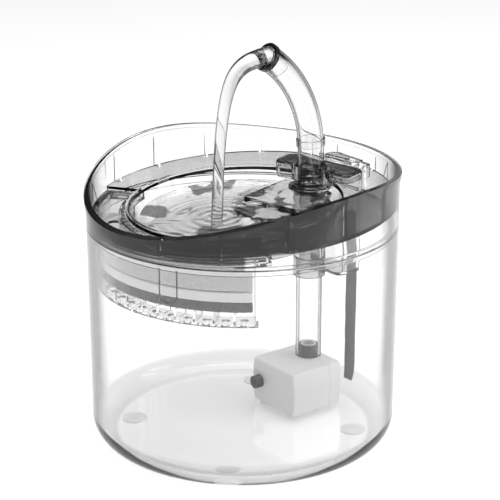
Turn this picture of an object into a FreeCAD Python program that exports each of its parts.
import FreeCAD, Part
import math
import os

# Pet water fountain: clear tank, clear lid tray with a swept rim, swan-neck spout on a smoky
# tower, crescent filter and submerged pump. Millimetres. +Z up, front is -Y, origin at the
# middle of the footprint on the floor.

Vector = FreeCAD.Vector
os.makedirs("parts", exist_ok=True)

# Tank
TANK_RADIUS = 90.0
TANK_TAPER = 0.7
TANK_TOP_Z = 131.6
TANK_WALL = 2.6
TANK_FLOOR = 4.2
TANK_FOOT_FILLET = 14.0
PAD_RADIUS = 7.4
PAD_HEIGHT = 1.0
PAD_MARGIN = 24.0
PAD_COUNT = 4

# Lid tray
SEAT_GAP = 0.2
LID_WALL = 2.2
LID_SKIRT_DEPTH = 3.5
LID_SKIRT_WALL = 1.6
LID_SKIRT_GAP = 0.5
LID_LEDGE = 1.4
TRAY_TILT = 3.65
TRAY_Z = 144.0
TRAY_FLOOR = 2.2
RIM_BEAD_WIDTH = 3.4
RIM_BEAD_HEIGHT = 2.6
RIM_BEAD_OUT = 0.9
RIM_BACK_Z = 161.3
RIM_SHOULDER_BACK_Z = 164.6
RIM_CREST_Z = 166.9
RIM_FALL_Z = 162.3
RIM_SWEEP_Z = 152.6
RIM_FRONT_Z = 141.6
RIM_SHARES = (1.2, 0.55, 0.17, -0.33, -0.72, -1.06)
RIM_CUT_MARGIN = 10.0
RIB_COUNT = 16
RIB_THICKNESS = 1.4
RIB_DEPTH_SHARE = 0.3
REAR_RIB_ANGLES = (-11.5, 11.5)

# Drinking basin in the tray, measured square to the tilted tray
BASIN_CENTRE_Y = -5.0
BASIN_MARGIN = 28.4
BASIN_WALL = 1.6
BASIN_LIP_RISE = 1.2
BASIN_DEPTH = 15.0
BASIN_SLOPE = 9.6
ISLAND_SETBACK = 20.8
ISLAND_RADIUS = 31.0
ISLAND_LEVEL = -9.0
PLINTH_WIDTH = 40.0
PLINTH_LENGTH = 36.8
PLINTH_HEIGHT = 4.6
DECK_TURN = 10.0

# Spout, tower and riser on one upright axis
AXIS_MARGIN = 39.2
SPOUT_RADIUS = 7.8
SPOUT_WALL = 1.3
SPOUT_BEND_RADIUS = 72.0
SPOUT_BEND_ANGLE = 58.0
SPOUT_BEND_Z = 164.0
SPOUT_FOOT_Z = 142.0
TOWER_TOP_Z = 155.5
TOWER_WALL = 2.0
TOWER_FIT = 0.06
TOWER_FLANGE_RADIUS = 13.0
TOWER_FLANGE = 2.0
TOWER_FOOT_Z = 87.5
TOWER_NECK_RADIUS = 6.2
JOINT_RING_Z = 169.5
JOINT_RING_HEIGHT = 4.0
JOINT_RING_WALL = 0.8
MOUTH_RING_LENGTH = 2.4
MOUTH_RING_WALL = 0.7
MOUTH_SLEEVE_LENGTH = 12.0
MOUTH_SLEEVE_WALL = 0.9
O_RING_SECTION = 0.75
O_RING_PITCH = 5.0
O_RING_COUNT = 2
RISER_RADIUS = 7.9
RISER_WALL = 1.5
RISER_TOP_Z = 98.5
RISER_FIT = 0.3

# Rear pocket, deck and cowl
POCKET_HALF_WIDTH = 14.0
POCKET_FRONT_GAP = 0.8
POCKET_MARGIN = 8.0
POCKET_FLOOR_Z = 87.0
POCKET_WALL = 1.6
POCKET_CORNER = 5.0
DECK_RISE = 6.0
DECK_LENGTH = 11.0
NOTCH_WIDTH = 6.0
COWL_HALF_WIDTH = 29.0
COWL_FRONT_REACH = 1.3
COWL_BACK_REACH = 16.7
COWL_RISE = 6.5
COWL_WALL = 2.0
COWL_INNER_RADIUS = 12.5
COWL_CORNER = 6.0
COWL_FOOT_GAP = 1.0
COWL_SIDE_GAP = 0.6
HOOK_X = 22.5
HOOK_SETBACK = 22.2
HOOK_WIDTH = 3.0
HOOK_THICKNESS = 1.5
HOOK_HEIGHT = 8.0
HOOK_REACH = 4.5

# Crescent filter at the front
FILTER_HALF_ANGLE = 58.0
FILTER_TANK_GAP = 3.2
FILTER_BASIN_GAP = 2.6
FILTER_SLIDE_GAP = 0.4
FILTER_BASE_Z = 98.0
FILTER_WALL = 1.3
FILTER_BASE = 1.5
FILTER_STANDOFF = 6.0
RECESS_DEPTH = 5.0
RECESS_MARGIN_ANGLE = 3.0
RECESS_WALL_ANGLE = 1.2
FLANGE_THICKNESS = 1.4
FLANGE_RIM_GAP = 0.8
FLANGE_OVERLAP_ANGLE = 2.2
COVER_THICKNESS = 1.5
COVER_GAP = 0.2
RIB_NOTCH_GAP = 0.7
FLANGE_SIDE_GAP = 0.9
LAYER_GAP = 0.3
CARBON_HEIGHT = 5.6
FELT_HEIGHT = 6.0
SPONGE_HEIGHT = 9.0
TEETH_COUNT = 21
TOOTH_WIDTH = 2.2
TOOTH_DEPTH = 2.6
TOOTH_MARGIN_ANGLE = 6.0
FINGER_SLOT_LENGTH = 22.0
FINGER_SLOT_WIDTH = 6.5
FINGER_SLOT_ANGLE = -14.0
BASE_HOLE_RADIUS = 2.3
BASE_HOLE_COUNT = 15
HOLE_MARGIN_ANGLE = 5.0
TONGUE_WIDTH = 10.0
TONGUE_TOP_Z = 128.0
TONGUE_LENGTH = 19.0
TONGUE_ANGLE = 24.0
TONGUE_SLIT = 0.8

# Pump
PUMP_HALF_WIDTH = 18.6
PUMP_REAR_REACH = 27.8
PUMP_SEAM_REACH = 0.6
PUMP_FRONT_REACH = 10.2
PUMP_LIFT = 2.0
PUMP_HEIGHT = 27.3
PUMP_WALL = 1.8
PUMP_BULGE = 1.6
PUMP_EDGE = 1.5
ROTOR_RADIUS = 6.4
ROTOR_GAP = 0.5
ROTOR_SLEEVE_WALL = 1.0
ROTOR_INSET = 4.6
ROTOR_LENGTH = 17.6
BLADE_RADIUS = 9.2
BLADE_COUNT = 6
BLADE_THICKNESS = 1.2
BLADE_STEP = 1.6
BLADE_LENGTH = 5.8
VOLUTE_RADIUS = 10.6
VOLUTE_STEP = 0.8
CHAMBER_LENGTH = 9.2
CHAMBER_WALL = 1.6
CHAMBER_HALF_WIDTH = 13.6
CHAMBER_GAP = 0.2
OUTLET_BORE = 3.6
OUTLET_RADIUS = 4.7
OUTLET_HEIGHT = 8.6
OUTLET_BOSS_RADIUS = 7.4
OUTLET_BOSS_HEIGHT = 0.8
COLLAR_HEIGHT = 7.4
SHAFT_RADIUS = 1.0
SHAFT_FIT = 0.05
BUSH_RADIUS = 2.4
BUSH_LENGTH = 1.7
BUSH_FIT = 0.05
PLATE_THICKNESS = 1.4
PLATE_EYE_RADIUS = 6.2
CORE_LENGTH = 13.0
CORE_INSET = 1.9
CORE_HALF_WIDTH = 13.5
CORE_LIMB = 3.2
COIL_WALL = 2.2
COIL_LENGTH = 10.0
POTTING_GAP = 0.2
SLOT_COUNT = 5
SLOT_WIDTH = 2.2
SLOT_HEIGHT = 13.0
SLOT_PITCH = 4.6
DIAL_RADIUS = 6.0
DIAL_THICKNESS = 1.4
DIAL_PIN_RADIUS = 1.6
DIAL_PIN_FIT = 0.05
DIAL_X = -11.0
CUP_RADIUS = 4.2
CUP_INSET = 6.0
CUP_STEM_RADIUS = 1.6
CUP_STEM_DEPTH = 1.2
CUP_STEM_END_GAP = 0.1
CUP_NECK = 0.6
SPONGE_THICKNESS = 1.8
GLAND_X = -12.5
GLAND_RADIUS = 4.0
GLAND_LENGTH = 4.5
GLAND_BORE = 1.7
GUIDE_WIDTH = 7.0
GUIDE_THICKNESS = 2.4
GUIDE_TOP_Z = 119.0
GUIDE_GAP = 0.15

# Values that follow from the sizes above
LID_BASE_Z = TANK_TOP_Z + SEAT_GAP
LID_INNER_RADIUS = TANK_RADIUS - LID_WALL
TANK_BASE_RADIUS = TANK_RADIUS - TANK_TAPER
FILTER_OUTER_RADIUS = TANK_RADIUS - TANK_WALL - FILTER_TANK_GAP
FLANGE_OUTER_RADIUS = LID_INNER_RADIUS - FLANGE_RIM_GAP
BASIN_RADIUS = TANK_RADIUS - BASIN_MARGIN
BASIN_FLOOR_RADIUS = BASIN_RADIUS - BASIN_SLOPE
FILTER_INNER_RADIUS = BASIN_RADIUS + BASIN_WALL + FILTER_BASIN_GAP
PAD_CIRCLE = TANK_RADIUS - PAD_MARGIN
AXIS_Y = TANK_RADIUS - AXIS_MARGIN
ISLAND_CENTRE_Y = AXIS_Y - ISLAND_SETBACK
PLINTH_FRONT_Y = AXIS_Y - PLINTH_LENGTH
POCKET_BACK_Y = TANK_RADIUS - POCKET_MARGIN
DECK_FRONT_Y = POCKET_BACK_Y - DECK_LENGTH
COWL_FRONT_Y = AXIS_Y - COWL_FRONT_REACH
COWL_BACK_Y = AXIS_Y + COWL_BACK_REACH
HOOK_Y = AXIS_Y + HOOK_SETBACK
PUMP_REAR_Y = AXIS_Y - PUMP_REAR_REACH
PUMP_SEAM_Y = AXIS_Y + PUMP_SEAM_REACH
PUMP_FRONT_Y = AXIS_Y + PUMP_FRONT_REACH
ROTOR_START_Y = PUMP_REAR_Y + ROTOR_INSET
ROTOR_END_Y = ROTOR_START_Y + ROTOR_LENGTH
BLADE_START_Y = ROTOR_END_Y + BLADE_STEP
BLADE_END_Y = BLADE_START_Y + BLADE_LENGTH
VOLUTE_START_Y = ROTOR_END_Y + VOLUTE_STEP
CHAMBER_END_Y = VOLUTE_START_Y + CHAMBER_LENGTH
CORE_START_Y = ROTOR_START_Y + CORE_INSET
TANK_FLOOR_Z = PAD_HEIGHT + TANK_FLOOR
PUMP_Z = TANK_FLOOR_Z + PUMP_LIFT
PUMP_TOP_Z = PUMP_Z + PUMP_HEIGHT
PUMP_AXIS_Z = PUMP_Z + PUMP_HEIGHT / 2
COLLAR_Z = PUMP_TOP_Z + OUTLET_BOSS_HEIGHT
RISER_BORE = RISER_RADIUS - RISER_WALL
SPOUT_BORE = SPOUT_RADIUS - SPOUT_WALL
TOWER_BORE = SPOUT_RADIUS + TOWER_FIT
TOWER_RADIUS = TOWER_BORE + TOWER_WALL
SOCKET_BORE = RISER_RADIUS + RISER_FIT
SOCKET_RADIUS = SOCKET_BORE + POCKET_WALL
POCKET_FRONT_Y = AXIS_Y + SOCKET_RADIUS + POCKET_FRONT_GAP
CARBON_Z = FILTER_BASE_Z + FILTER_BASE + FILTER_STANDOFF + LAYER_GAP
FELT_Z = CARBON_Z + CARBON_HEIGHT + LAYER_GAP
FILTER_SPONGE_Z = FELT_Z + FELT_HEIGHT + LAYER_GAP
FLANGE_LEVEL = SEAT_GAP - RECESS_DEPTH
COVER_LEVEL = FLANGE_LEVEL + FLANGE_THICKNESS + COVER_GAP
CHAMBER_HALF_HEIGHT = PUMP_HEIGHT / 2 - PUMP_WALL - CHAMBER_GAP
REACH = 2 * TANK_RADIUS
FRONT_ANGLE = -90.0


def box(x0, x1, y0, y1, z0, z1):
    return Part.makeBox(x1 - x0, y1 - y0, z1 - z0, Vector(x0, y0, z0))


def column(radius, z0, z1, x=0.0, y=0.0):
    return Part.makeCylinder(radius, z1 - z0, Vector(x, y, z0))


def pipe(outer, inner, z0, z1, x=0.0, y=0.0):
    return column(outer, z0, z1, x, y).cut(column(inner, z0 - 1, z1 + 1, x, y))


def rod(radius, y0, y1, x, z):
    return Part.makeCylinder(radius, y1 - y0, Vector(x, y0, z), Vector(0, 1, 0))


def union(shapes):
    return shapes[0].fuse(list(shapes[1:])).removeSplitter()


def turned(profile):
    points = [Vector(radius, 0, z) for radius, z in profile]
    face = Part.Face(Part.makePolygon(points + [points[0]]))
    return face.revolve(Vector(0, 0, 0), Vector(0, 0, 1), 360)


def about_z(shape, angle, y=0.0):
    copy = shape.copy()
    copy.rotate(Vector(0, y, 0), Vector(0, 0, 1), angle)
    return copy


def on_tray(shape):
    """Tips a shape drawn with the tray level as z = 0 into the sloping tray."""
    copy = shape.copy()
    copy.rotate(Vector(0, 0, 0), Vector(1, 0, 0), TRAY_TILT)
    copy.translate(Vector(0, 0, TRAY_Z))
    return copy


def tray_height(y):
    return TRAY_Z + y * math.tan(math.radians(TRAY_TILT))


def sector(half_angle, radius, z0, z1, middle=FRONT_ANGLE):
    """A wedge about the upright axis, used to keep one arc of a ring."""
    first = math.radians(middle - half_angle)
    last = math.radians(middle + half_angle)
    mid = math.radians(middle)
    points = [Vector(0, 0, z0)]
    for angle in (first, (first + mid) / 2, mid, (last + mid) / 2, last):
        points.append(Vector(radius * math.cos(angle), radius * math.sin(angle), z0))
    face = Part.Face(Part.makePolygon(points + [points[0]]))
    return face.extrude(Vector(0, 0, z1 - z0))


def crescent(outer, inner, half_angle, z0, z1):
    """The space between the basin and the tank wall, over one arc at the front."""
    ring = column(outer, z0, z1).cut(column(inner, z0 - 1, z1 + 1, 0, BASIN_CENTRE_Y))
    return ring.common(sector(half_angle, REACH, z0, z1))


def rounded_box(half_width, y0, y1, z0, z1, corner):
    body = box(-half_width, half_width, y0, y1, z0, z1)
    upright = [edge for edge in body.Edges if abs(edge.tangentAt(edge.FirstParameter).z) > 0.99]
    return body.makeFillet(corner, upright)


def tank_profile(radius, base_radius, z0, z1, fillet):
    """Outline of a turned vessel with a rounded foot."""
    points = [Vector(0, 0, z0), Vector(base_radius - fillet, 0, z0)]
    half = math.radians(45)
    arc_mid = Vector(base_radius - fillet + fillet * math.sin(half), 0,
                     z0 + fillet - fillet * math.cos(half))
    arc_end = Vector(base_radius, 0, z0 + fillet)
    edges = [Part.makeLine(points[0], points[1]),
             Part.Arc(points[1], arc_mid, arc_end).toShape(),
             Part.makeLine(arc_end, Vector(radius, 0, z1)),
             Part.makeLine(Vector(radius, 0, z1), Vector(0, 0, z1)),
             Part.makeLine(Vector(0, 0, z1), points[0])]
    return Part.Face(Part.Wire(edges)).revolve(Vector(0, 0, 0), Vector(0, 0, 1), 360)


def tank_hollow(gap):
    return tank_profile(TANK_RADIUS - TANK_WALL - gap, TANK_BASE_RADIUS - TANK_WALL - gap,
                        TANK_FLOOR_Z + gap, TANK_TOP_Z + 1, TANK_FOOT_FILLET - TANK_WALL)


def pad_places():
    for number in range(PAD_COUNT):
        angle = math.radians(45 + number * 360 / PAD_COUNT)
        yield PAD_CIRCLE * math.cos(angle), PAD_CIRCLE * math.sin(angle)


def make_tank():
    outer = tank_profile(TANK_RADIUS, TANK_BASE_RADIUS, PAD_HEIGHT, TANK_TOP_Z, TANK_FOOT_FILLET)
    return outer.cut(tank_hollow(0))


def make_foot_pads():
    return Part.Compound([column(PAD_RADIUS, 0, PAD_HEIGHT, x, y) for x, y in pad_places()])


def make_cable_guide():
    half = GUIDE_WIDTH / 2
    strip = box(-half, half, 0, REACH, TANK_FLOOR_Z, GUIDE_TOP_Z).common(tank_hollow(GUIDE_GAP))
    inner = TANK_BASE_RADIUS - TANK_WALL - GUIDE_GAP - GUIDE_THICKNESS
    return strip.cut(column(inner, 0, TANK_TOP_Z))


def rim_cutter(drop):
    """Everything above the swept rim line, lowered by drop."""
    heights = (RIM_BACK_Z, RIM_SHOULDER_BACK_Z, RIM_CREST_Z, RIM_FALL_Z, RIM_SWEEP_Z, RIM_FRONT_Z)
    points = [Vector(-REACH, share * TANK_RADIUS, z - drop)
              for share, z in zip(RIM_SHARES, heights)]
    curve = Part.BSplineCurve()
    curve.interpolate(points)
    top = RIM_CREST_Z + RIM_CUT_MARGIN
    first = Vector(-REACH, points[0].y, top)
    last = Vector(-REACH, points[-1].y, top)
    wire = Part.Wire([curve.toShape(), Part.makeLine(points[-1], last),
                      Part.makeLine(last, first), Part.makeLine(first, points[0])])
    return Part.Face(wire).extrude(Vector(2 * REACH, 0, 0))


def rim_height(y):
    """Height of the rim line over a place on the wall."""
    ray = Part.makeLine(Vector(0, y, LID_BASE_Z), Vector(0, y, RIM_CREST_Z + 1))
    return ray.cut(rim_cutter(0)).BoundBox.ZMax


def rib_angles():
    step = 360 / RIB_COUNT
    regular = [number * step for number in range(1, RIB_COUNT)]
    return regular + list(REAR_RIB_ANGLES)


def rib_depth(angle):
    y = TANK_RADIUS * math.cos(math.radians(angle))
    return RIB_DEPTH_SHARE * (rim_height(y) - RIM_BEAD_HEIGHT - tray_height(y))


def make_rib(angle):
    """A triangular gusset from the rim down to the tray, drawn at the back and turned."""
    y = LID_INNER_RADIUS * math.cos(math.radians(angle))
    top = rim_height(y) - RIM_BEAD_HEIGHT
    foot = tray_height(y) - TRAY_FLOOR / 2
    outer = LID_INNER_RADIUS + LID_WALL / 2
    inner = LID_INNER_RADIUS - rib_depth(angle)
    points = [Vector(-RIB_THICKNESS / 2, outer, top), Vector(-RIB_THICKNESS / 2, outer, foot),
              Vector(-RIB_THICKNESS / 2, inner, foot),
              Vector(-RIB_THICKNESS / 2, LID_INNER_RADIUS, top)]
    face = Part.Face(Part.makePolygon(points + [points[0]]))
    return about_z(face.extrude(Vector(RIB_THICKNESS, 0, 0)), -angle)


def basin_solid(grow, top, depth):
    """The basin's turned form, square to the tray, as a solid."""
    solid = turned(((0, -depth), (BASIN_FLOOR_RADIUS + grow, -depth),
                    (BASIN_RADIUS + grow, 0), (BASIN_RADIUS + grow, top), (0, top)))
    solid.translate(Vector(0, BASIN_CENTRE_Y, 0))
    return solid


def pocket_solid(shrink, front_y, z0, z1):
    return rounded_box(POCKET_HALF_WIDTH - shrink, front_y + shrink, POCKET_BACK_Y - shrink,
                       z0, z1, POCKET_CORNER - shrink)


def make_lid_tray():
    top = RIM_CREST_Z + RIM_BEAD_HEIGHT
    wall = pipe(TANK_RADIUS, LID_INNER_RADIUS, LID_BASE_Z, top)
    bead = pipe(TANK_RADIUS + RIM_BEAD_OUT, TANK_RADIUS + RIM_BEAD_OUT - RIM_BEAD_WIDTH,
                LID_BASE_Z, top)
    bead = bead.common(rim_cutter(RIM_BEAD_HEIGHT)).cut(rim_cutter(0))
    wall = wall.cut(rim_cutter(0))
    skirt_radius = TANK_RADIUS - TANK_WALL - LID_SKIRT_GAP
    skirt = pipe(skirt_radius, skirt_radius - LID_SKIRT_WALL, TANK_TOP_Z - LID_SKIRT_DEPTH,
                 LID_BASE_Z + LID_LEDGE)
    ledge = pipe(TANK_RADIUS, skirt_radius - LID_SKIRT_WALL, LID_BASE_Z, LID_BASE_Z + LID_LEDGE)

    inside = column(LID_INNER_RADIUS + LID_WALL / 2, LID_BASE_Z, top)
    slab = on_tray(column(REACH, -TRAY_FLOOR, 0)).common(inside)
    recess_angle = FILTER_HALF_ANGLE + RECESS_MARGIN_ANGLE
    recess_inner = BASIN_RADIUS + BASIN_WALL / 2
    recess_body = crescent(LID_INNER_RADIUS + LID_WALL / 2, recess_inner, recess_angle + RECESS_WALL_ANGLE,
                           -RECESS_DEPTH - TRAY_FLOOR, 0)
    recess_hollow = crescent(LID_INNER_RADIUS, BASIN_RADIUS + BASIN_WALL, recess_angle,
                             -RECESS_DEPTH, top)
    basin = basin_solid(BASIN_WALL, BASIN_LIP_RISE, BASIN_DEPTH + TRAY_FLOOR)
    island = column(ISLAND_RADIUS, -BASIN_DEPTH - TRAY_FLOOR / 2, ISLAND_LEVEL,
                    0, ISLAND_CENTRE_Y).common(basin)
    plinth = box(-PLINTH_WIDTH / 2, PLINTH_WIDTH / 2, PLINTH_FRONT_Y, AXIS_Y,
                 ISLAND_LEVEL - TRAY_FLOOR / 2, ISLAND_LEVEL + PLINTH_HEIGHT)
    plinth = about_z(plinth, DECK_TURN, AXIS_Y).common(basin)
    under_island = column(ISLAND_RADIUS - TRAY_FLOOR, -REACH, ISLAND_LEVEL - TRAY_FLOOR,
                          0, ISLAND_CENTRE_Y)

    deck_z = tray_height(POCKET_BACK_Y) + DECK_RISE
    deck = pocket_solid(0, DECK_FRONT_Y, tray_height(0), deck_z)
    deck = deck.cut(on_tray(column(REACH, -REACH, -TRAY_FLOOR)))
    upper_hollow = pocket_solid(POCKET_WALL, DECK_FRONT_Y, tray_height(0), deck_z - POCKET_WALL)
    notch = box(POCKET_HALF_WIDTH - POCKET_CORNER - NOTCH_WIDTH, POCKET_HALF_WIDTH - POCKET_CORNER,
                DECK_FRONT_Y + 2 * POCKET_WALL, POCKET_BACK_Y - 2 * POCKET_WALL,
                deck_z - 2 * POCKET_WALL, deck_z + 1)

    lid = union([slab.fuse(on_tray(recess_body)).common(inside), on_tray(basin), wall])
    hollow = basin_solid(0, top, BASIN_DEPTH)
    hollow = hollow.cut(column(ISLAND_RADIUS, -REACH, ISLAND_LEVEL, 0, ISLAND_CENTRE_Y))
    lid = lid.cut(on_tray(hollow)).cut(on_tray(recess_hollow))
    lid = lid.cut(on_tray(under_island.common(basin_solid(0, 0, REACH / 2))))
    lid = union([lid, on_tray(island.cut(under_island)), on_tray(plinth), bead, skirt, ledge,
                 deck] + [make_rib(angle) for angle in rib_angles()])
    opening = crescent(FILTER_OUTER_RADIUS + FILTER_SLIDE_GAP, FILTER_INNER_RADIUS - FILTER_SLIDE_GAP,
                       FILTER_HALF_ANGLE + FILTER_SLIDE_GAP, LID_BASE_Z - 2 * RECESS_DEPTH,
                       tray_height(0))
    opening = opening.cut(on_tray(column(REACH, 0, REACH)))
    lid = lid.cut(opening).cut(upper_hollow).cut(notch)
    socket_hole = column(TOWER_BORE + TOWER_WALL + RISER_FIT, TOWER_FOOT_Z, RIM_CREST_Z, 0, AXIS_Y)
    return lid.cut(socket_hole).cut(flange_clearance())


def make_rear_pocket():
    """An open box under the tray for spare cord, whose rim follows the tray's slope."""
    top = tray_height(POCKET_BACK_Y)
    walls = pocket_solid(0, POCKET_FRONT_Y, POCKET_FLOOR_Z, top)
    hollow = pocket_solid(POCKET_WALL, POCKET_FRONT_Y, POCKET_FLOOR_Z + POCKET_WALL, top)
    pocket = walls.cut(hollow).cut(on_tray(column(REACH, -TRAY_FLOOR, REACH)))
    return pocket.cut(flange_clearance())


def flange_z():
    """Height of the tower's seat on the plinth."""
    return tray_height(AXIS_Y) + ISLAND_LEVEL + PLINTH_HEIGHT - TOWER_FLANGE


def flange_clearance():
    """The room round the tower's flange and above it."""
    return column(TOWER_FLANGE_RADIUS + RISER_FIT, flange_z(), RIM_CREST_Z, 0, AXIS_Y)


def make_deck_cowl():
    """A hollow cowl on the basin's lip, with a front skirt that reaches down inside the basin."""
    z0 = BASIN_LIP_RISE + SEAT_GAP
    z1 = COWL_RISE
    foot = ISLAND_LEVEL + PLINTH_HEIGHT + COWL_FOOT_GAP
    shell = rounded_box(COWL_HALF_WIDTH, COWL_FRONT_Y, COWL_BACK_Y, foot, z1, COWL_CORNER)
    upper = [edge for edge in shell.Edges if edge.BoundBox.ZMin > z1 - 0.01]
    shell = shell.makeFillet(COWL_WALL, upper)
    hollow = rounded_box(COWL_HALF_WIDTH - COWL_WALL, COWL_FRONT_Y + COWL_WALL,
                         COWL_BACK_Y - COWL_WALL, foot - 1, z1 - COWL_WALL, COWL_CORNER - COWL_WALL)
    inner_wall = column(COWL_INNER_RADIUS + COWL_WALL, foot, z1, 0, AXIS_Y).common(shell)
    shell = shell.cut(hollow).fuse(inner_wall)
    shell = shell.cut(column(COWL_INNER_RADIUS, foot - 1, z1 + 1, 0, AXIS_Y)).removeSplitter()
    shell = about_z(shell, DECK_TURN, AXIS_Y)
    inside_basin = basin_solid(-COWL_SIDE_GAP, z0, BASIN_DEPTH)
    over_lip = column(REACH, z0, z1 + 1)
    return on_tray(shell.common(inside_basin.fuse(over_lip)).removeSplitter())


def make_cable_hook():
    base = tray_height(HOOK_Y) + SEAT_GAP
    post = box(HOOK_X, HOOK_X + HOOK_THICKNESS, HOOK_Y, HOOK_Y + HOOK_WIDTH, base, base + HOOK_HEIGHT)
    arm = box(HOOK_X - HOOK_REACH, HOOK_X, HOOK_Y, HOOK_Y + HOOK_WIDTH,
              base + HOOK_HEIGHT - HOOK_THICKNESS, base + HOOK_HEIGHT)
    lip = box(HOOK_X - HOOK_REACH, HOOK_X - HOOK_REACH + HOOK_THICKNESS, HOOK_Y, HOOK_Y + HOOK_WIDTH,
              base + HOOK_HEIGHT - 2 * HOOK_THICKNESS, base + HOOK_HEIGHT)
    return union([post, arm, lip])


def make_spout_tower():
    seat = flange_z()
    body = column(TOWER_RADIUS, TOWER_FOOT_Z, TOWER_TOP_Z, 0, AXIS_Y)
    flange = column(TOWER_FLANGE_RADIUS, seat + SEAT_GAP, seat + SEAT_GAP + TOWER_FLANGE, 0, AXIS_Y)
    body = body.fuse(flange)
    body = body.cut(column(TOWER_BORE, SPOUT_FOOT_Z - SEAT_GAP, TOWER_TOP_Z + 1, 0, AXIS_Y))
    body = body.cut(column(TOWER_NECK_RADIUS, TOWER_FOOT_Z - 1, TOWER_TOP_Z, 0, AXIS_Y))
    body = body.cut(column(SOCKET_BORE, TOWER_FOOT_Z - 1, RISER_TOP_Z + SEAT_GAP, 0, AXIS_Y))
    return body.removeSplitter()


def spout_path(length_before):
    """Upright run and one tangent arc that leans the mouth forwards."""
    start = Vector(0, AXIS_Y, SPOUT_FOOT_Z - length_before)
    bend = Vector(0, AXIS_Y, SPOUT_BEND_Z)
    centre = Vector(0, AXIS_Y - SPOUT_BEND_RADIUS, SPOUT_BEND_Z)
    points = []
    for share in (0.5, 1.0):
        angle = math.radians(SPOUT_BEND_ANGLE * share)
        points.append(centre + Vector(0, math.cos(angle), math.sin(angle)) * SPOUT_BEND_RADIUS)
    return Part.Wire([Part.makeLine(start, bend), Part.Arc(bend, points[0], points[1]).toShape()])


def mouth_frame():
    """Mouth centre and the outward direction of the spout's end."""
    angle = math.radians(SPOUT_BEND_ANGLE)
    centre = Vector(0, AXIS_Y - SPOUT_BEND_RADIUS, SPOUT_BEND_Z)
    mouth = centre + Vector(0, math.cos(angle), math.sin(angle)) * SPOUT_BEND_RADIUS
    return mouth, Vector(0, -math.sin(angle), math.cos(angle))


def bent_rod(radius, length_before):
    profile = Part.Wire([Part.makeCircle(radius, Vector(0, AXIS_Y, SPOUT_FOOT_Z - length_before))])
    return spout_path(length_before).makePipeShell([profile], True, False)


def mouth_pipe(outer, inner, back, front):
    """A short pipe on the mouth's own direction, from back to front of the mouth's face."""
    mouth, outward = mouth_frame()
    start = mouth + outward * back
    solid = Part.makeCylinder(outer, front - back, start, outward)
    return solid.cut(Part.makeCylinder(inner, front - back + 2, start - outward, outward))


def make_spout_mouth_sleeve():
    """A thin sleeve inside the mouth that follows the tube's bend."""
    mouth, outward = mouth_frame()
    outer = SPOUT_BORE - GUIDE_GAP
    disc = Part.Face(Part.Wire([Part.makeCircle(outer, mouth, outward)]))
    bore = Part.Face(Part.Wire([Part.makeCircle(outer - MOUTH_SLEEVE_WALL, mouth, outward)]))
    sweep = -math.degrees(MOUTH_SLEEVE_LENGTH / SPOUT_BEND_RADIUS)
    centre = Vector(0, AXIS_Y - SPOUT_BEND_RADIUS, SPOUT_BEND_Z)
    return disc.cut(bore).revolve(centre, Vector(1, 0, 0), sweep)


def o_ring_heights():
    for number in range(O_RING_COUNT):
        yield SPOUT_FOOT_Z + O_RING_PITCH / 2 + number * O_RING_PITCH


def make_spout_tube():
    tube = bent_rod(SPOUT_RADIUS, 0).cut(bent_rod(SPOUT_BORE, 1))
    for height in o_ring_heights():
        half = O_RING_SECTION + TOWER_FIT
        groove = pipe(SPOUT_RADIUS + 1, SPOUT_RADIUS - O_RING_SECTION, height - half, height + half,
                      0, AXIS_Y)
        tube = tube.cut(groove)
    return tube


def make_spout_o_rings():
    rings = []
    for height in o_ring_heights():
        outer = TOWER_BORE - TOWER_FIT / 2
        inner = SPOUT_RADIUS - O_RING_SECTION + TOWER_FIT / 2
        rings.append(pipe(outer, inner, height - O_RING_SECTION, height + O_RING_SECTION, 0, AXIS_Y))
    return Part.Compound(rings)


def make_spout_joint_ring():
    """A plain ring round the tube just above its upright run, on the tube's own bend."""
    middle = JOINT_RING_Z - SPOUT_BEND_Z
    angle = math.asin(middle / SPOUT_BEND_RADIUS)
    centre = Vector(0, AXIS_Y - SPOUT_BEND_RADIUS, SPOUT_BEND_Z)
    along = Vector(0, -math.sin(angle), math.cos(angle))
    place = centre + Vector(0, math.cos(angle), math.sin(angle)) * SPOUT_BEND_RADIUS
    start = place - along * (JOINT_RING_HEIGHT / 2)
    sleeve = Part.makeCylinder(SPOUT_RADIUS + JOINT_RING_WALL, JOINT_RING_HEIGHT, start, along)
    return sleeve.cut(bent_rod(SPOUT_RADIUS + TOWER_FIT, 0))


def make_riser_tube():
    return pipe(RISER_RADIUS, RISER_BORE, COLLAR_Z + SEAT_GAP, RISER_TOP_Z, 0, AXIS_Y)


def make_outlet_collar():
    return pipe(RISER_BORE - TOWER_FIT, OUTLET_RADIUS + TOWER_FIT, COLLAR_Z + SEAT_GAP,
                COLLAR_Z + COLLAR_HEIGHT, 0, AXIS_Y)


def pump_shell(y0, y1):
    """Bulged box of the pump's casing between two planes."""
    middle = (PUMP_Z + PUMP_TOP_Z) / 2
    half = PUMP_HALF_WIDTH
    out = half + PUMP_BULGE
    low_left = Vector(-half, y0, PUMP_Z)
    low_right = Vector(half, y0, PUMP_Z)
    top_right = Vector(half, y0, PUMP_TOP_Z)
    top_left = Vector(-half, y0, PUMP_TOP_Z)
    wire = Part.Wire([Part.makeLine(low_left, low_right),
                      Part.Arc(low_right, Vector(out, y0, middle), top_right).toShape(),
                      Part.makeLine(top_right, top_left),
                      Part.Arc(top_left, Vector(-out, y0, middle), low_left).toShape()])
    return Part.Face(wire).extrude(Vector(0, y1 - y0, 0))


def soften(solid, plane_y, radius):
    """Rounds the edges that lie in one end plane."""
    ends = [edge for edge in solid.Edges
            if abs(edge.BoundBox.YMin - plane_y) < 0.01 and abs(edge.BoundBox.YMax - plane_y) < 0.01]
    return solid.makeFillet(radius, ends)


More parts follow.
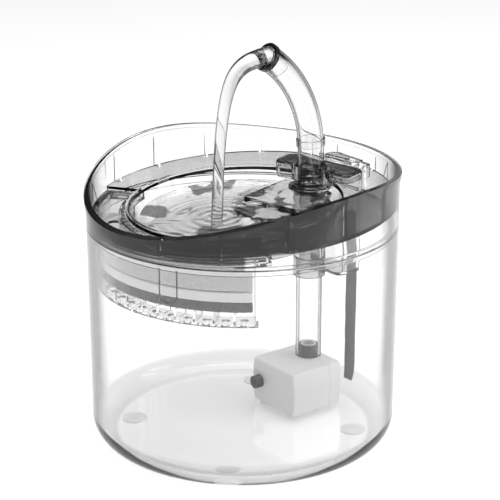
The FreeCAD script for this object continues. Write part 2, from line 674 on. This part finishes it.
def hollow_box(shrink, y0, y1):
    half = PUMP_HALF_WIDTH - shrink
    return box(-half, half, y0, y1, PUMP_Z + shrink, PUMP_TOP_Z - shrink)


def chamber_block(grow, y0, y1):
    half = CHAMBER_HALF_WIDTH + grow
    height = CHAMBER_HALF_HEIGHT + grow
    return box(-half, half, y0, y1, PUMP_AXIS_Z - height, PUMP_AXIS_Z + height)


def cup_places():
    x = PUMP_HALF_WIDTH - CUP_INSET
    for side in (-x, x):
        for y in (PUMP_REAR_Y + CUP_INSET, PUMP_SEAM_Y - CUP_INSET):
            yield side, y


def make_pump_body():
    casing = soften(pump_shell(PUMP_REAR_Y, PUMP_SEAM_Y), PUMP_REAR_Y, PUMP_EDGE)
    boss_top = PUMP_TOP_Z + OUTLET_BOSS_HEIGHT
    chamber = chamber_block(0, VOLUTE_START_Y - CHAMBER_WALL, CHAMBER_END_Y)
    boss = column(OUTLET_BOSS_RADIUS, PUMP_TOP_Z - PUMP_WALL, boss_top, 0, AXIS_Y)
    boss = boss.common(box(-REACH, REACH, 0, CHAMBER_END_Y, 0, REACH))
    nipple = column(OUTLET_RADIUS, PUMP_TOP_Z - PUMP_WALL, PUMP_TOP_Z + OUTLET_HEIGHT, 0, AXIS_Y)
    motor = hollow_box(PUMP_WALL, PUMP_REAR_Y + PUMP_WALL, VOLUTE_START_Y - CHAMBER_WALL)
    sleeve_radius = ROTOR_RADIUS + ROTOR_GAP + ROTOR_SLEEVE_WALL
    sleeve = rod(sleeve_radius, PUMP_REAR_Y + PUMP_WALL / 2, VOLUTE_START_Y, 0, PUMP_AXIS_Z)
    body = union([casing.cut(motor), chamber, boss, nipple, sleeve])
    rotor_start = ROTOR_START_Y - BUSH_LENGTH - ROTOR_GAP
    body = body.cut(rod(ROTOR_RADIUS + ROTOR_GAP, rotor_start + BUSH_LENGTH, VOLUTE_START_Y + 1, 0,
                        PUMP_AXIS_Z))
    body = body.cut(rod(BUSH_RADIUS + BUSH_FIT, rotor_start, ROTOR_START_Y, 0, PUMP_AXIS_Z))
    body = body.cut(rod(VOLUTE_RADIUS, VOLUTE_START_Y, CHAMBER_END_Y + 1, 0, PUMP_AXIS_Z))
    body = body.cut(column(OUTLET_BORE, PUMP_AXIS_Z, PUMP_TOP_Z + OUTLET_HEIGHT + 1, 0, AXIS_Y))
    gland_hole = rod(GLAND_BORE + GUIDE_GAP, PUMP_REAR_Y - 1, PUMP_REAR_Y + PUMP_WALL + 1, GLAND_X,
                     PUMP_AXIS_Z)
    body = body.cut(gland_hole)
    for x, y in cup_places():
        stem_end = PUMP_Z + CUP_STEM_DEPTH + CUP_STEM_END_GAP
        body = body.cut(column(CUP_STEM_RADIUS + BUSH_FIT, PUMP_Z - 1, stem_end, x, y))
    return body


def slot_places():
    first = -(SLOT_COUNT - 1) / 2
    for number in range(SLOT_COUNT):
        yield (first + number) * SLOT_PITCH


def make_pump_front_cover():
    cover = soften(pump_shell(PUMP_SEAM_Y + SEAT_GAP, PUMP_FRONT_Y), PUMP_FRONT_Y, PUMP_EDGE)
    cover = cover.cut(hollow_box(PUMP_WALL, PUMP_SEAM_Y - 1, PUMP_FRONT_Y - PUMP_WALL))
    cover = cover.cut(chamber_block(GUIDE_GAP, PUMP_SEAM_Y, CHAMBER_END_Y))
    cover = cover.cut(column(OUTLET_BOSS_RADIUS + GUIDE_GAP, PUMP_TOP_Z - 2 * PUMP_WALL,
                             PUMP_TOP_Z + 1, 0, AXIS_Y))
    for x in slot_places():
        cover = cover.cut(box(x - SLOT_WIDTH / 2, x + SLOT_WIDTH / 2, PUMP_FRONT_Y - 2 * PUMP_WALL,
                              PUMP_FRONT_Y + 1, PUMP_AXIS_Z - SLOT_HEIGHT / 2,
                              PUMP_AXIS_Z + SLOT_HEIGHT / 2))
    pin_hole = rod(DIAL_PIN_RADIUS + DIAL_PIN_FIT, PUMP_FRONT_Y - 2 * PUMP_WALL, PUMP_FRONT_Y + 1,
                   DIAL_X, PUMP_AXIS_Z + DIAL_RADIUS)
    return cover.cut(pin_hole)


def make_flow_dial():
    z = PUMP_AXIS_Z + DIAL_RADIUS
    start = PUMP_FRONT_Y + SEAT_GAP
    dial = rod(DIAL_RADIUS, start, start + DIAL_THICKNESS, DIAL_X, z)
    pin = rod(DIAL_PIN_RADIUS, PUMP_FRONT_Y - PUMP_WALL, start + DIAL_THICKNESS, DIAL_X, z)
    grip = box(DIAL_X - SLOT_WIDTH / 2, DIAL_X + SLOT_WIDTH / 2, start, start + 2 * DIAL_THICKNESS,
               z - DIAL_RADIUS + 1, z + DIAL_RADIUS - 1)
    return union([dial, pin, grip])


def make_volute_plate():
    start = CHAMBER_END_Y
    half = CHAMBER_HALF_WIDTH
    height = CHAMBER_HALF_HEIGHT
    plate = box(-half, half, start, start + PLATE_THICKNESS, PUMP_AXIS_Z - height,
                PUMP_AXIS_Z + height)
    plate = plate.cut(rod(PLATE_EYE_RADIUS, start - 1, start + PLATE_THICKNESS + 1, 0, PUMP_AXIS_Z))
    hub = rod(BUSH_RADIUS + PUMP_WALL / 2, start, start + PLATE_THICKNESS, 0, PUMP_AXIS_Z)
    arm = SLOT_WIDTH / 2
    spoke = box(-PLATE_EYE_RADIUS - 1, PLATE_EYE_RADIUS + 1, start, start + PLATE_THICKNESS,
                PUMP_AXIS_Z - arm, PUMP_AXIS_Z + arm)
    plate = union([plate, hub, spoke])
    return plate.cut(rod(BUSH_RADIUS + BUSH_FIT, start - 1, start + PLATE_THICKNESS + 1, 0,
                         PUMP_AXIS_Z))


def make_impeller():
    rotor = rod(ROTOR_RADIUS, ROTOR_START_Y, ROTOR_END_Y, 0, PUMP_AXIS_Z)
    neck = rod(ROTOR_RADIUS / 2, ROTOR_END_Y, BLADE_END_Y, 0, PUMP_AXIS_Z)
    parts = [rotor, neck]
    for number in range(BLADE_COUNT):
        blade = box(-BLADE_THICKNESS / 2, BLADE_THICKNESS / 2, BLADE_START_Y, BLADE_END_Y,
                    PUMP_AXIS_Z, PUMP_AXIS_Z + BLADE_RADIUS)
        blade.rotate(Vector(0, 0, PUMP_AXIS_Z), Vector(0, 1, 0), number * 360 / BLADE_COUNT)
        parts.append(blade)
    impeller = union(parts)
    return impeller.cut(rod(SHAFT_RADIUS + SHAFT_FIT, 0, REACH, 0, PUMP_AXIS_Z))


def bush_places():
    return (ROTOR_START_Y - BUSH_LENGTH - ROTOR_GAP, CHAMBER_END_Y - BUSH_FIT)


def make_shaft_bushes():
    bushes = []
    for start in bush_places():
        bush = rod(BUSH_RADIUS, start, start + BUSH_LENGTH, 0, PUMP_AXIS_Z)
        bushes.append(bush.cut(rod(SHAFT_RADIUS + SHAFT_FIT, 0, REACH, 0, PUMP_AXIS_Z)))
    return Part.Compound(bushes)


def make_impeller_shaft():
    first, last = bush_places()
    return rod(SHAFT_RADIUS, first + GUIDE_GAP, last + BUSH_LENGTH, 0, PUMP_AXIS_Z)


def motor_cavity(gap):
    cavity = hollow_box(PUMP_WALL + gap, PUMP_REAR_Y + PUMP_WALL + gap,
                        VOLUTE_START_Y - CHAMBER_WALL - gap)
    sleeve_radius = ROTOR_RADIUS + ROTOR_GAP + ROTOR_SLEEVE_WALL + gap
    return cavity.cut(rod(sleeve_radius, 0, REACH, 0, PUMP_AXIS_Z))


def core_solid(grow):
    y0 = CORE_START_Y - grow
    y1 = CORE_START_Y + CORE_LENGTH + grow
    half = CORE_HALF_WIDTH
    limb = CORE_LIMB
    low = PUMP_AXIS_Z - PUMP_HEIGHT / 2 + PUMP_WALL + 2 * POTTING_GAP
    bar = box(-half - grow, half + grow, y0, y1, low - grow, low + limb + grow)
    sides = [box(side - limb / 2 - grow, side + limb / 2 + grow, y0, y1, low,
                 PUMP_AXIS_Z + ROTOR_RADIUS + grow)
             for side in (-half + limb / 2, half - limb / 2)]
    return union([bar] + sides)


def make_stator_core():
    return core_solid(0)


def coil_solid(grow):
    side = CORE_HALF_WIDTH - CORE_LIMB / 2
    outer = CORE_LIMB / 2 + COIL_WALL + grow
    middle = CORE_START_Y + CORE_LENGTH / 2
    half_length = CORE_LENGTH / 2 + COIL_WALL + grow
    return [box(place - outer, place + outer, middle - half_length, middle + half_length,
                PUMP_AXIS_Z - COIL_LENGTH / 2 - grow, PUMP_AXIS_Z + COIL_LENGTH / 2 + grow)
            for place in (-side, side)]


def make_stator_coil():
    coils = [coil.cut(core_solid(POTTING_GAP)).common(motor_cavity(POTTING_GAP))
             for coil in coil_solid(0)]
    return Part.Compound([solid for coil in coils for solid in coil.Solids])


def make_motor_potting():
    potting = motor_cavity(POTTING_GAP).cut(core_solid(POTTING_GAP))
    for coil in coil_solid(POTTING_GAP):
        potting = potting.cut(coil)
    solids = sorted(potting.Solids, key=lambda solid: -solid.Volume)
    return solids[0]


def make_intake_sponge():
    y1 = PUMP_FRONT_Y - PUMP_WALL - GUIDE_GAP
    half = CHAMBER_HALF_WIDTH
    pad = box(-half, half, y1 - SPONGE_THICKNESS, y1, PUMP_AXIS_Z - CHAMBER_HALF_HEIGHT,
              PUMP_AXIS_Z + CHAMBER_HALF_HEIGHT)
    return pad.cut(rod(DIAL_PIN_RADIUS + 2 * GUIDE_GAP, 0, REACH, DIAL_X, PUMP_AXIS_Z + DIAL_RADIUS))


def make_suction_cups():
    cups = []
    for x, y in cup_places():
        cone = Part.makeCone(CUP_RADIUS, CUP_STEM_RADIUS + CUP_NECK, PUMP_LIFT - GUIDE_GAP,
                             Vector(x, y, TANK_FLOOR_Z))
        stem = column(CUP_STEM_RADIUS, PUMP_Z - GUIDE_GAP, PUMP_Z + CUP_STEM_DEPTH, x, y)
        cups.append(union([cone, stem]))
    return Part.Compound(cups)


def make_cable_gland():
    boss = rod(GLAND_RADIUS, PUMP_REAR_Y - GLAND_LENGTH, PUMP_REAR_Y - GUIDE_GAP, GLAND_X,
               PUMP_AXIS_Z)
    stem = rod(GLAND_BORE, PUMP_REAR_Y - GLAND_LENGTH, PUMP_REAR_Y + PUMP_WALL, GLAND_X, PUMP_AXIS_Z)
    bore = rod(GLAND_BORE / 2, PUMP_REAR_Y - GLAND_LENGTH - 1, PUMP_REAR_Y + PUMP_WALL + 1, GLAND_X,
               PUMP_AXIS_Z)
    return union([boss, stem]).cut(bore)


def rib_notches(gap, z0, z1):
    """Clear ways for the wall ribs that stand over the filter recess."""
    ways = []
    for angle in rib_angles():
        if 180 - abs(180 - angle % 360) > 180 - FILTER_HALF_ANGLE - 2 * RECESS_MARGIN_ANGLE:
            inner = LID_INNER_RADIUS - rib_depth(angle) - gap
            half = RIB_THICKNESS / 2 + gap
            ways.append(about_z(box(-half, half, inner, TANK_RADIUS, z0, z1), -angle))
    return ways


def filter_shell(shrink, z0, z1):
    outer = FILTER_OUTER_RADIUS - shrink
    inner = FILTER_INNER_RADIUS + shrink
    shrink_angle = math.degrees(shrink / FILTER_OUTER_RADIUS)
    return crescent(outer, inner, FILTER_HALF_ANGLE - shrink_angle, z0, z1)


def rim_plate(z0, z1):
    """A thin crescent plate lying in the tray's recess."""
    plate = crescent(FLANGE_OUTER_RADIUS, BASIN_RADIUS + BASIN_WALL + FLANGE_SIDE_GAP,
                     FILTER_HALF_ANGLE + FLANGE_OVERLAP_ANGLE, z0, z1)
    return on_tray(plate)


def base_hole_places():
    """Holes in a row along the middle of the crescent's base."""
    for number in range(BASE_HOLE_COUNT):
        share = number / (BASE_HOLE_COUNT - 1) * 2 - 1
        angle = math.radians(FRONT_ANGLE + share * (FILTER_HALF_ANGLE - HOLE_MARGIN_ANGLE))
        direction = Vector(math.cos(angle), math.sin(angle), 0)
        offset = direction.y * BASIN_CENTRE_Y
        inner = offset + math.sqrt(FILTER_INNER_RADIUS ** 2 - BASIN_CENTRE_Y ** 2 + offset ** 2)
        yield direction * ((inner + FILTER_OUTER_RADIUS) / 2)


def make_filter_basket():
    top = tray_height(0)
    outer = filter_shell(0, FILTER_BASE_Z, top).cut(on_tray(column(REACH, FLANGE_LEVEL, REACH)))
    inner = filter_shell(FILTER_WALL, FILTER_BASE_Z + FILTER_BASE, top)
    flange = rim_plate(FLANGE_LEVEL, FLANGE_LEVEL + FLANGE_THICKNESS)
    basket = union([outer, flange])
    basket = basket.cut(inner)
    for way in rib_notches(RIB_NOTCH_GAP, LID_BASE_Z, RIM_CREST_Z):
        basket = basket.cut(way)
    for place in base_hole_places():
        basket = basket.cut(column(BASE_HOLE_RADIUS, FILTER_BASE_Z - 1,
                                   FILTER_BASE_Z + FILTER_BASE + 1, place.x, place.y))
    standoffs = []
    for number in range(BASE_HOLE_COUNT - 1):
        share = (number + 0.5) / (BASE_HOLE_COUNT - 1) * 2 - 1
        angle = share * (FILTER_HALF_ANGLE - HOLE_MARGIN_ANGLE)
        fin = box(-FILTER_WALL / 2, FILTER_WALL / 2, -REACH, 0, FILTER_BASE_Z,
                  FILTER_BASE_Z + FILTER_BASE + FILTER_STANDOFF)
        standoffs.append(about_z(fin, angle).common(filter_shell(0, FILTER_BASE_Z, top)))
    basket = union([basket] + standoffs)
    return basket.cut(tongue_slit())


def tongue_slit():
    """U-shaped slit that frees a springy tongue in the basket's outer wall."""
    half = TONGUE_WIDTH / 2
    foot = TONGUE_TOP_Z - TONGUE_LENGTH + half
    y = -FILTER_OUTER_RADIUS - 1
    depth = 2 * FILTER_WALL + 1

    def tongue(grow):
        body = box(-half - grow, half + grow, y, y + depth, foot, TONGUE_TOP_Z)
        end = Part.makeCylinder(half + grow, depth, Vector(0, y, foot), Vector(0, 1, 0))
        return body.fuse(end)

    return about_z(tongue(TONGUE_SLIT).cut(tongue(0)), TONGUE_ANGLE)


def make_filter_cover():
    plate = rim_plate(COVER_LEVEL, COVER_LEVEL + COVER_THICKNESS)
    for way in rib_notches(RIB_NOTCH_GAP, LID_BASE_Z, RIM_CREST_Z):
        plate = plate.cut(way)
    low = COVER_LEVEL - 1
    high = COVER_LEVEL + COVER_THICKNESS + 1
    middle = (BASIN_RADIUS + BASIN_WALL - BASIN_CENTRE_Y + FILTER_OUTER_RADIUS) / 2
    half = FINGER_SLOT_LENGTH / 2 - FINGER_SLOT_WIDTH / 2
    radius = FINGER_SLOT_WIDTH / 2
    slot = union([box(-half, half, -middle - radius, -middle + radius, low, high),
                  column(radius, low, high, -half, -middle),
                  column(radius, low, high, half, -middle)])
    plate = plate.cut(on_tray(about_z(slot, FINGER_SLOT_ANGLE)))
    inner = BASIN_RADIUS + BASIN_WALL + FLANGE_SIDE_GAP
    for number in range(TEETH_COUNT):
        share = number / (TEETH_COUNT - 1) * 2 - 1
        gap = box(-TOOTH_WIDTH / 2, TOOTH_WIDTH / 2, -inner - TOOTH_DEPTH, -inner + 1, low, high)
        gap = about_z(gap, share * (FILTER_HALF_ANGLE - TOOTH_MARGIN_ANGLE))
        gap.translate(Vector(0, BASIN_CENTRE_Y, 0))
        plate = plate.cut(on_tray(gap))
    return plate


def make_filter_layer(z0, height):
    return filter_shell(FILTER_WALL + LAYER_GAP, z0, z0 + height)


NODES = {
    "tank": make_tank,
    "foot_pads": make_foot_pads,
    "cable_guide": make_cable_guide,
    "lid_tray": make_lid_tray,
    "rear_pocket": make_rear_pocket,
    "deck_cowl": make_deck_cowl,
    "cable_hook": make_cable_hook,
    "spout_tower": make_spout_tower,
    "spout_tube": make_spout_tube,
    "spout_joint_ring": make_spout_joint_ring,
    "spout_mouth_ring": lambda: mouth_pipe(SPOUT_RADIUS + MOUTH_RING_WALL, SPOUT_RADIUS + TOWER_FIT,
                                           -MOUTH_RING_LENGTH, 0),
    "spout_mouth_sleeve": make_spout_mouth_sleeve,
    "spout_o_rings": make_spout_o_rings,
    "riser_tube": make_riser_tube,
    "outlet_collar": make_outlet_collar,
    "pump_body": make_pump_body,
    "pump_front_cover": make_pump_front_cover,
    "volute_plate": make_volute_plate,
    "intake_sponge": make_intake_sponge,
    "flow_dial": make_flow_dial,
    "impeller": make_impeller,
    "impeller_shaft": make_impeller_shaft,
    "shaft_bushes": make_shaft_bushes,
    "stator_core": make_stator_core,
    "stator_coil": make_stator_coil,
    "motor_potting": make_motor_potting,
    "suction_cups": make_suction_cups,
    "cable_gland": make_cable_gland,
    "filter_basket": make_filter_basket,
    "filter_cover": make_filter_cover,
    "filter_sponge": lambda: make_filter_layer(FILTER_SPONGE_Z, SPONGE_HEIGHT),
    "filter_felt": lambda: make_filter_layer(FELT_Z, FELT_HEIGHT),
    "filter_carbon": lambda: make_filter_layer(CARBON_Z, CARBON_HEIGHT),
}

for name, make in NODES.items():
    shape = make()
    shape.exportStep(os.path.join("parts", name + ".step"))
    bounds = shape.BoundBox
    print(name, "valid", shape.isValid(), "solids", len(shape.Solids), "volume", round(shape.Volume),
          "z", round(bounds.ZMin, 1), round(bounds.ZMax, 1))
